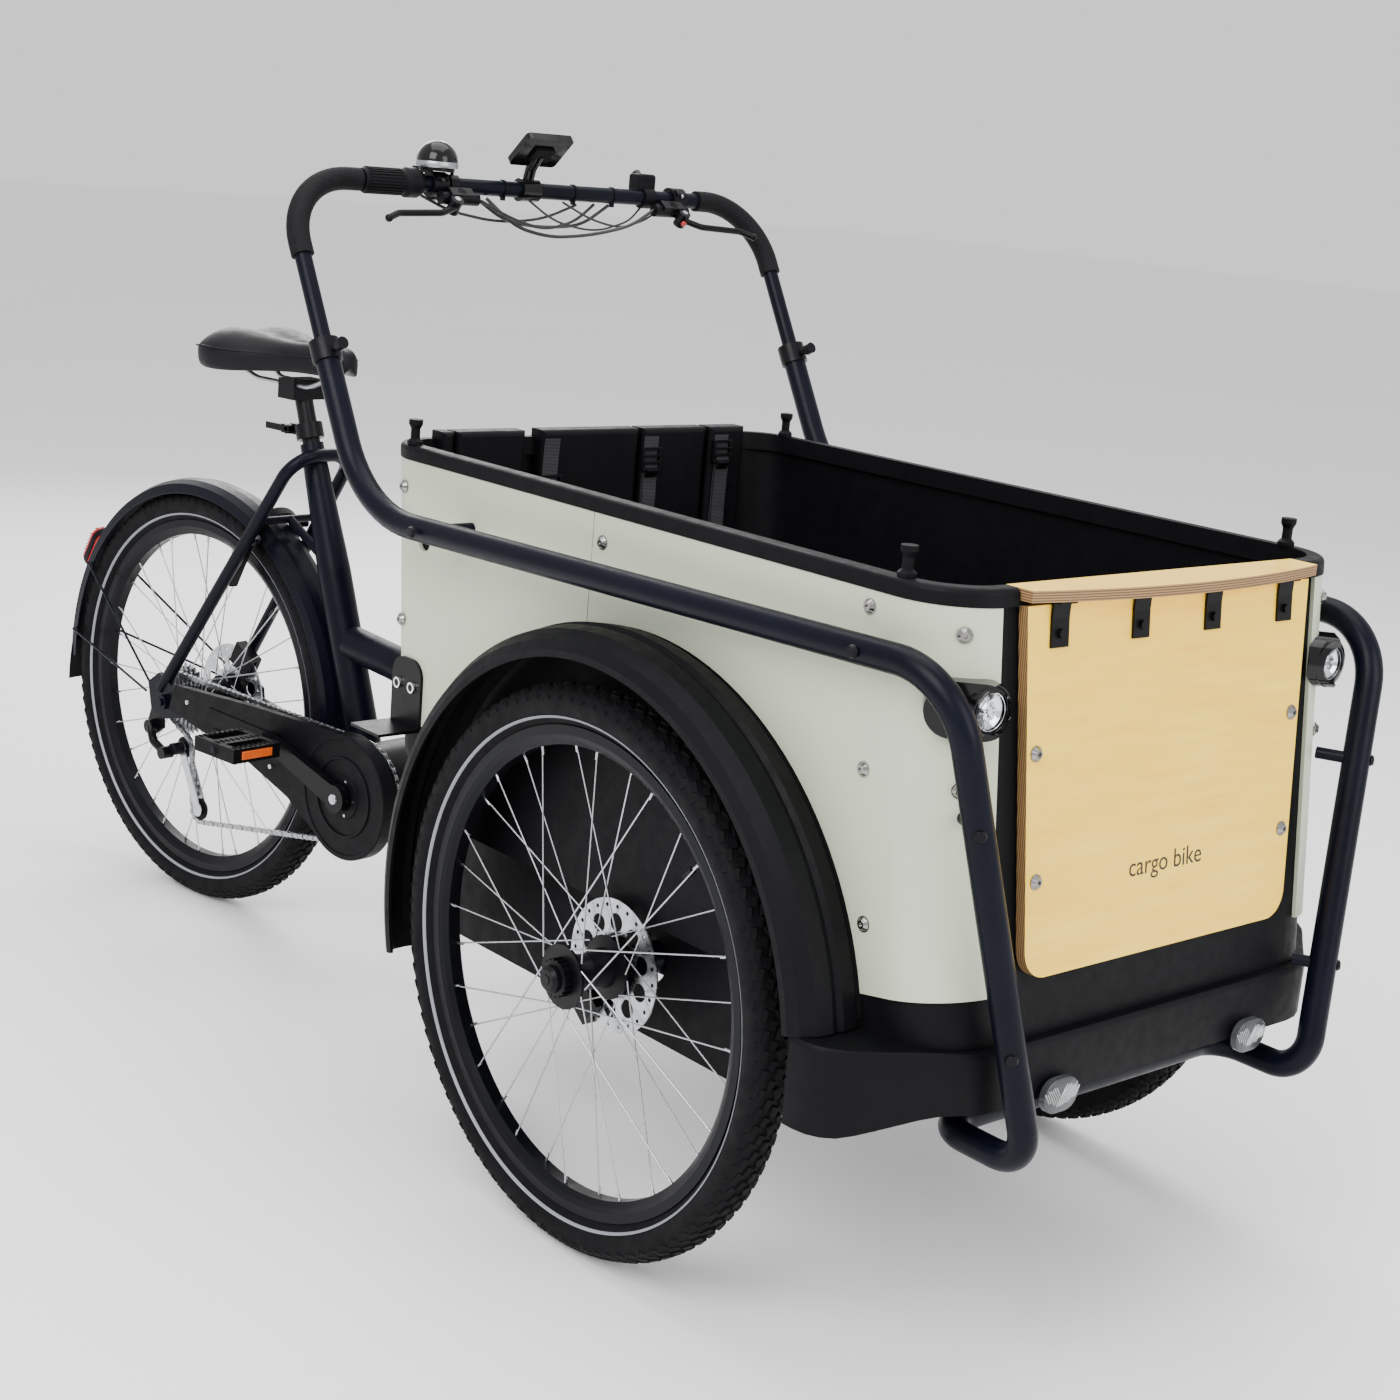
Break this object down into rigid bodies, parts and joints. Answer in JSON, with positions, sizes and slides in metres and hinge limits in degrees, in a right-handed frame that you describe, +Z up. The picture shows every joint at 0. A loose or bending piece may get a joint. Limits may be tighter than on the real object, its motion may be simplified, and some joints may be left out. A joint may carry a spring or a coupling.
{
  "type": "cargo bicycle",
  "caption": "Front-box cargo tricycle: a panelled box between two braked front wheels steers as one piece with its hoop handlebar, pivoting on a pedalled rear frame.",
  "frame": {"origin": "on the ground under the middle of the whole bike", "axes": "+X ahead along the cargo box, +Y to the rider's left, +Z up; the rear end is turned 7.5 degrees about the upright steering pivot"},
  "size_m": [2.2081, 0.88, 1.2657],
  "materials": {
    "frame_paint": "satin dark blue-black powder coat",
    "black_plastic": "matt moulded black",
    "gloss_black": "glossy black",
    "white_panel": "satin off-white sheet",
    "plywood": "clear-coated birch plywood",
    "tyre_rubber": "black rubber",
    "black_metal": "satin black",
    "silver_metal": "brushed",
    "bright_metal": "bright",
    "clear_lens": "clear, with a reflector behind it",
    "red_lens": "translucent red",
    "webbing": "black webbing",
    "saddle_cover": "matt black cover",
    "grip_rubber": "knurled black"
  },
  "bodies": {
    "rear_frame": {"main_frame": "frame_paint", "seat_clamp": "black_metal", "motor_unit": "black_metal", "chain_guard": "black_plastic", "rear_fender": "frame_paint", "tail_light": "red_lens", "ring_lock": "black_plastic", "chain": "silver_metal", "derailleur": "black_metal", "derailleur_cage": "silver_metal", "rear_caliper": "black_metal"},
    "clamp_lever": {"seat_clamp_lever": "black_metal"},
    "saddle_post": {"seat_post": "black_metal", "saddle_rails": "silver_metal", "saddle": "saddle_cover"},
    "rear_wheel": {"rear_tyre": "tyre_rubber", "rear_rim": "black_metal", "rear_spokes": "silver_metal", "rear_hub": "black_metal"},
    "cassette": {"cassette": "silver_metal"},
    "crankset": {"crankset": "black_metal"},
    "pedal_right": {"pedal_right": "black_plastic"},
    "pedal_left": {"pedal_left": "black_plastic"},
    "cargo_front": {"front_chassis": "frame_paint", "cargo_tub": "black_plastic", "side_panels": "white_panel", "front_panel": "plywood", "front_shelf": "plywood", "shelf_brackets": "black_metal", "panel_bolts": "bright_metal", "bumper_frame": "frame_paint", "front_skirt": "black_plastic", "wheel_arches": "black_plastic", "headlight_housings": "gloss_black", "lamp_lenses": "clear_lens", "tent_posts": "black_plastic", "foot_brackets": "black_metal", "harness_straps": "webbing", "front_calipers": "black_metal", "upright_collars": "black_metal"},
    "front_wheel_right": {"front_right_tyre": "tyre_rubber", "front_right_rim": "black_metal", "front_right_spokes": "silver_metal", "front_right_hub": "black_metal"},
    "front_wheel_left": {"front_left_tyre": "tyre_rubber", "front_left_rim": "black_metal", "front_left_spokes": "silver_metal", "front_left_hub": "black_metal"},
    "handlebar": {"handlebar": "frame_paint", "grip_tape": "grip_rubber", "lever_mounts": "black_metal", "display": "gloss_black", "bell": "black_metal", "assist_control": "black_plastic", "brake_cables": "grip_rubber"},
    "twist_grip": {"twist_shifter": "black_plastic"},
    "lever_right": {"brake_lever_right": "black_metal"},
    "lever_left": {"brake_lever_left": "black_metal"},
    "bell_striker": {"bell_lever": "black_metal"},
    "assist_key": {"assist_button": "gloss_black"}
  },
  "joints": [
    {"name": "steering", "type": "hinge", "parent": "rear_frame", "child": "cargo_front", "pos_m": [0.565, 0, 0.254], "axis": [0, 0, 1], "range_deg": [-22.5, 37.5]},
    {"name": "rear_wheel_spin", "type": "hinge", "parent": "rear_frame", "child": "rear_wheel", "pos_m": [-0.75362, -0.1736, 0.335], "axis": [-0.1305, 0.9914, 0], "continuous": true},
    {"name": "crank_spin", "type": "hinge", "parent": "rear_frame", "child": "crankset", "pos_m": [-0.29557, -0.1133, 0.295], "axis": [-0.1305, 0.9914, 0], "continuous": true},
    {"name": "cassette_spin", "type": "hinge", "parent": "rear_frame", "child": "cassette", "pos_m": [-0.75362, -0.1736, 0.335], "axis": [-0.1305, 0.9914, 0], "continuous": true},
    {"name": "pedal_right_spin", "type": "hinge", "parent": "crankset", "child": "pedal_right", "pos_m": [-0.43574, -0.29414, 0.3447], "axis": [-0.1305, 0.9914, 0], "continuous": true},
    {"name": "pedal_left_spin", "type": "hinge", "parent": "crankset", "child": "pedal_left", "pos_m": [-0.15541, 0.06755, 0.2453], "axis": [-0.1305, 0.9914, 0], "continuous": true},
    {"name": "saddle_height", "type": "slide", "parent": "rear_frame", "child": "saddle_post", "axis": [-0.3353, -0.0441, 0.9411], "range_m": [-0.024, 0.15]},
    {"name": "clamp_lever_flip", "type": "hinge", "parent": "rear_frame", "child": "clamp_lever", "pos_m": [-0.54571, -0.16287, 0.801], "axis": [0, 0, 1], "range_deg": [0, 150]},
    {"name": "front_right_spin", "type": "hinge", "parent": "cargo_front", "child": "front_wheel_right", "pos_m": [0.535, -0.385, 0.335], "axis": [0, 1, 0], "continuous": true},
    {"name": "front_left_spin", "type": "hinge", "parent": "cargo_front", "child": "front_wheel_left", "pos_m": [0.535, 0.385, 0.335], "axis": [0, 1, 0], "continuous": true},
    {"name": "handlebar_height", "type": "slide", "parent": "cargo_front", "child": "handlebar", "axis": [-0.4952, 0, 0.8688], "range_m": [-0.035, 0.045]},
    {"name": "shifter_twist", "type": "hinge", "parent": "handlebar", "child": "twist_grip", "pos_m": [-0.17384, -0.242, 1.187], "axis": [0, 1, 0], "range_deg": [-60, 20]},
    {"name": "brake_right", "type": "hinge", "parent": "handlebar", "child": "lever_right", "pos_m": [-0.14024, -0.16, 1.1618], "axis": [-0.6, 0, -0.8], "range_deg": [0, 12], "stiffness_Nm_per_rad": 0.8, "springref_deg": -8.59},
    {"name": "brake_left", "type": "hinge", "parent": "handlebar", "child": "lever_left", "pos_m": [-0.14024, 0.24, 1.1618], "axis": [0.6, 0, 0.8], "range_deg": [0, 12], "stiffness_Nm_per_rad": 0.8, "springref_deg": -8.59},
    {"name": "bell_strike", "type": "hinge", "parent": "handlebar", "child": "bell_striker", "pos_m": [-0.19984, -0.172, 1.207], "axis": [0, 0, 1], "range_deg": [0, 25], "stiffness_Nm_per_rad": 0.05, "springref_deg": -11.46},
    {"name": "assist_press", "type": "slide", "parent": "handlebar", "child": "assist_key", "axis": [0.8, 0, -0.6], "range_m": [0, 0.0015], "stiffness_N_per_m": 800, "springref_m": -0.0006}
  ],
  "couplings": [
    {"joint": "cassette_spin", "follows": "crank_spin", "ratio": 2}
  ]
}
